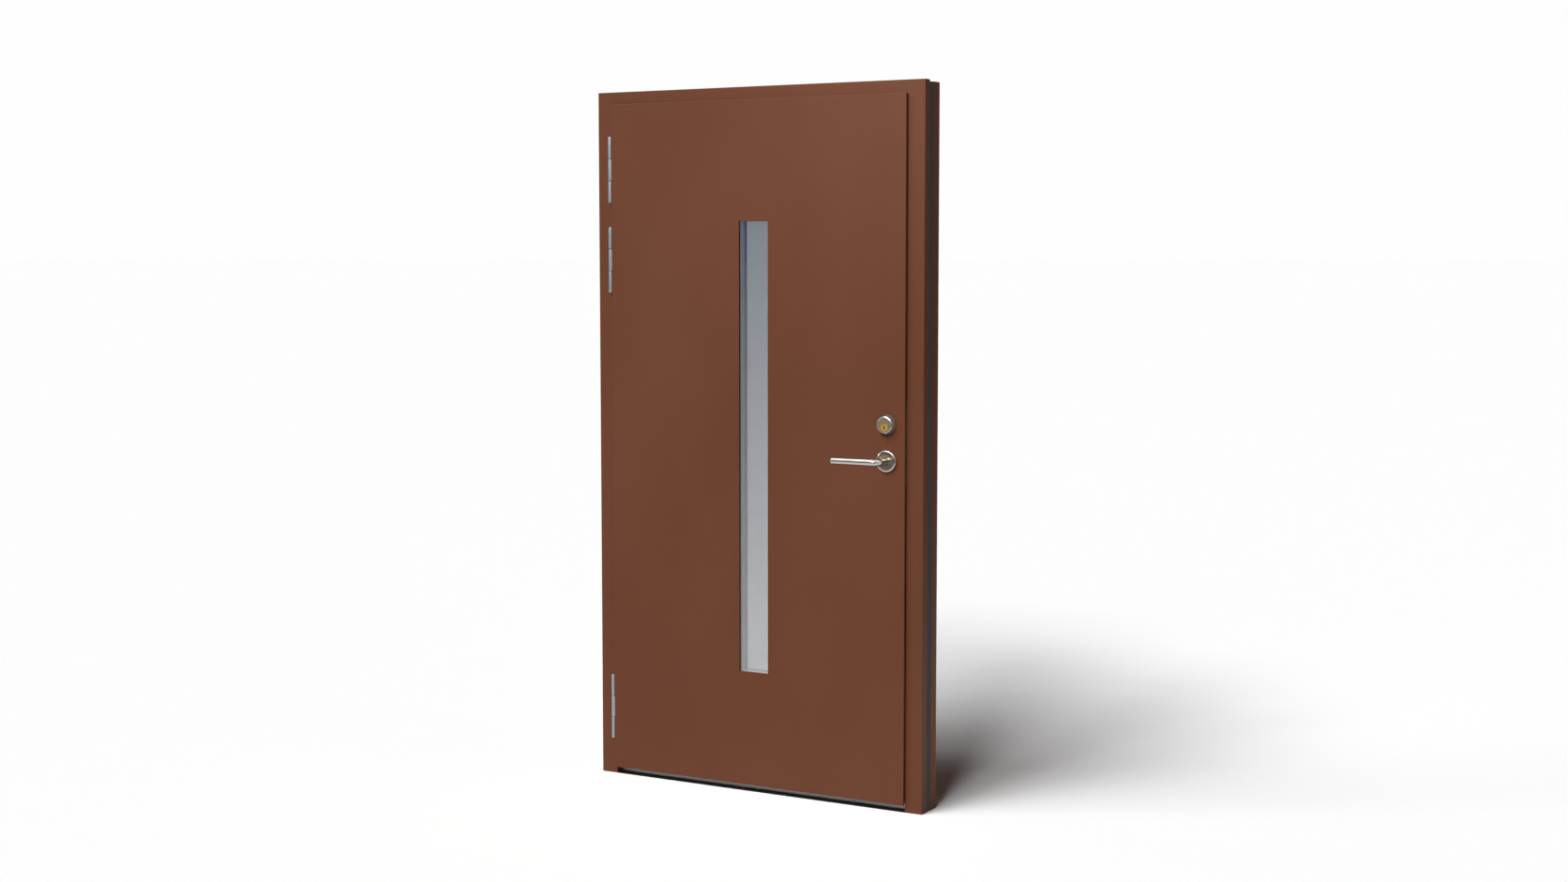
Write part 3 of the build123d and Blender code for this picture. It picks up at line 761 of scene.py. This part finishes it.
def studio_floor():
    """Large pale square under the door. Seen directly its colour lifts the lamps' level to white, so
    only the shadow shows; in a mirror it fades to a dark horizon; for all other light it is paper."""
    half = floor_size / 2
    mesh = bpy.data.meshes.new("studio_floor")
    corners = np.array([(-half, -half, 0.0), (half, -half, 0.0), (half, half, 0.0), (-half, half, 0.0)])
    mesh.from_pydata(corners.tolist(), [], [(0, 1, 2, 3)])
    floor = placed("studio_floor", mesh)
    paper = bpy.data.materials.new("studio_paper")
    paper.use_nodes = True
    tree = paper.node_tree
    tree.nodes.clear()
    place = studio_node(tree, "ShaderNodeNewGeometry").outputs["Position"]
    distance = studio_node(tree, "ShaderNodeVectorMath", place)
    distance.operation = "LENGTH"
    length = distance.outputs["Value"]
    fade = studio_node(tree, "ShaderNodeMapRange", length, mirrored_floor_near, mirrored_floor_far)
    near = (mirrored_near_share * paper_seen_level,) * 3
    ahead = colour_ramp(tree, fade.outputs["Result"], [(0.0, near), (1.0, horizon)])
    sideways = colour_ramp(tree, fade.outputs["Result"], [(0.0, near), (1.0, side_wall)])
    direction = studio_node(tree, "ShaderNodeVectorMath", place)
    direction.operation = "NORMALIZE"
    mirrored = beside(tree, direction.outputs["Vector"], ahead, sideways)
    path = studio_node(tree, "ShaderNodeLightPath").outputs
    plain = studio_node(tree, "ShaderNodeBsdfDiffuse", grey(paper_level))
    lifted = studio_node(tree, "ShaderNodeBsdfDiffuse", grey(paper_seen_level))
    faded = studio_node(tree, "ShaderNodeBsdfDiffuse", mirrored)
    in_mirror = switched(tree, path["Is Glossy Ray"], plain, faded)
    surface = switched(tree, path["Is Camera Ray"], in_mirror, lifted)
    studio_node(tree, "ShaderNodeOutputMaterial", surface.outputs[0])
    mesh.materials.append(paper)


def studio_world(fill):
    """Even fill light. Seen directly or through glass it is white; in a mirror it rises from a dark
    horizon ahead and pale walls at the sides to white overhead."""
    world = bpy.data.worlds.new("studio_world")
    bpy.context.scene.world = world
    world.use_nodes = True
    tree = world.node_tree
    tree.nodes.clear()
    direction = studio_node(tree, "ShaderNodeTexCoord").outputs["Generated"]
    rise = studio_node(tree, "ShaderNodeSeparateXYZ", direction).outputs["Z"]
    ahead = colour_ramp(tree, rise, [(0.12, horizon), (0.30, (0.5, 0.5, 0.5)), (0.6, (1.0, 1.0, 1.0))])
    sideways = colour_ramp(tree, rise, [(0.1, side_wall), (0.6, (1.0, 1.0, 1.0))])
    room = beside(tree, direction, ahead, sideways)
    path = studio_node(tree, "ShaderNodeLightPath").outputs
    lamp = studio_node(tree, "ShaderNodeBackground", grey(1.0), fill)
    mirrored = studio_node(tree, "ShaderNodeBackground", room, 1.0)
    backdrop = studio_node(tree, "ShaderNodeBackground", grey(1.0), backdrop_level)
    in_mirror = switched(tree, path["Is Glossy Ray"], lamp, mirrored)
    seen = studio_node(tree, "ShaderNodeMath", path["Is Camera Ray"], path["Is Transmission Ray"])
    seen.operation = "MAXIMUM"
    surroundings = switched(tree, seen.outputs[0], in_mirror, backdrop)
    studio_node(tree, "ShaderNodeOutputWorld", surroundings.outputs[0])


def far_lamp(name, side, rise, spread, level, shadow=True):
    """Distant lamp: side is its angle from the front towards the lock and rise its height in degrees,
    spread its apparent width, and level what it adds to a white sheet that faces it."""
    data = bpy.data.lights.new(name, "SUN")
    data.angle = math.radians(spread)
    data.energy = math.pi * level
    data.use_shadow = shadow
    placed(name, data, angles=(math.radians(90.0 - rise), 0.0, math.radians(side)))


# Lamps before the door: side, rise and spread in degrees, and level
lamp_arc = [
    (11.0, 35.0, 13.0, 0.310),
    (-5.0, 40.5, 11.0, 0.215),
    (-15.5, 46.0, 12.0, 0.190),
    (-25.0, 51.0, 12.0, 0.150),
    (-33.0, 56.0, 12.0, 0.110),
    (-43.0, 60.0, 14.0, 0.090),
    (-56.0, 56.0, 16.0, 0.060),
    (-57.0, 12.5, 10.0, 0.100),
]


def head_lamp(place, tilt, spread, size, power):
    """Square soft lamp before the door's head, kept off the floor by its narrow spread."""
    data = bpy.data.lights.new("head_lamp", "AREA")
    data.size = size
    data.spread = math.radians(spread)
    data.energy = power
    placed("head_lamp", data, place, (math.radians(tilt), 0.0, 0.0))


def floor_strip(place, length, width, level):
    """Narrow bright strip on the floor, facing up, in line with the frame, whose side it lights from
    below. Its level is its brightness, where 1 is white; no camera or mirror sees it."""
    data = bpy.data.lights.new("floor_strip", "AREA")
    data.shape = "RECTANGLE"
    data.size = length
    data.size_y = width
    data.energy = math.pi * length * width * level
    strip = placed("floor_strip", data, place, (math.pi, 0.0, 0.0))
    strip.visible_camera = False
    strip.visible_glossy = False


def photo_camera():
    """Camera fitted to the door's edges in the photo: a 50 mm lens on a 36 mm wide sensor."""
    data = bpy.data.cameras.new("photo_camera")
    data.lens = 50.0
    data.sensor_width = 36.0
    place, dip, turn = (3.224678, -5.575717, 1.593085), 4.820, 29.495
    angles = (math.radians(90.0 - dip), 0.0, math.radians(turn))
    bpy.context.scene.camera = placed("photo_camera", data, place, angles)


studio_floor()
studio_world(fill=0.006)
for number, (side, rise, spread, level) in enumerate(lamp_arc):
    far_lamp(f"arc_lamp_{number}", side, rise, spread, level)
# Low lamp behind the door, without shadow: it lights the room side and hardly the floor
far_lamp("back_lamp", side=200.0, rise=0.3, spread=2.0, level=0.45, shadow=False)
head_lamp((0.3, -1.6, 2.5), tilt=82.0, spread=90.0, size=0.8, power=2.3)
floor_strip((1.375, 0.0, 0.005), length=1.25, width=0.09, level=6.4)
photo_camera()
bpy.context.scene.view_settings.view_transform = "Standard"
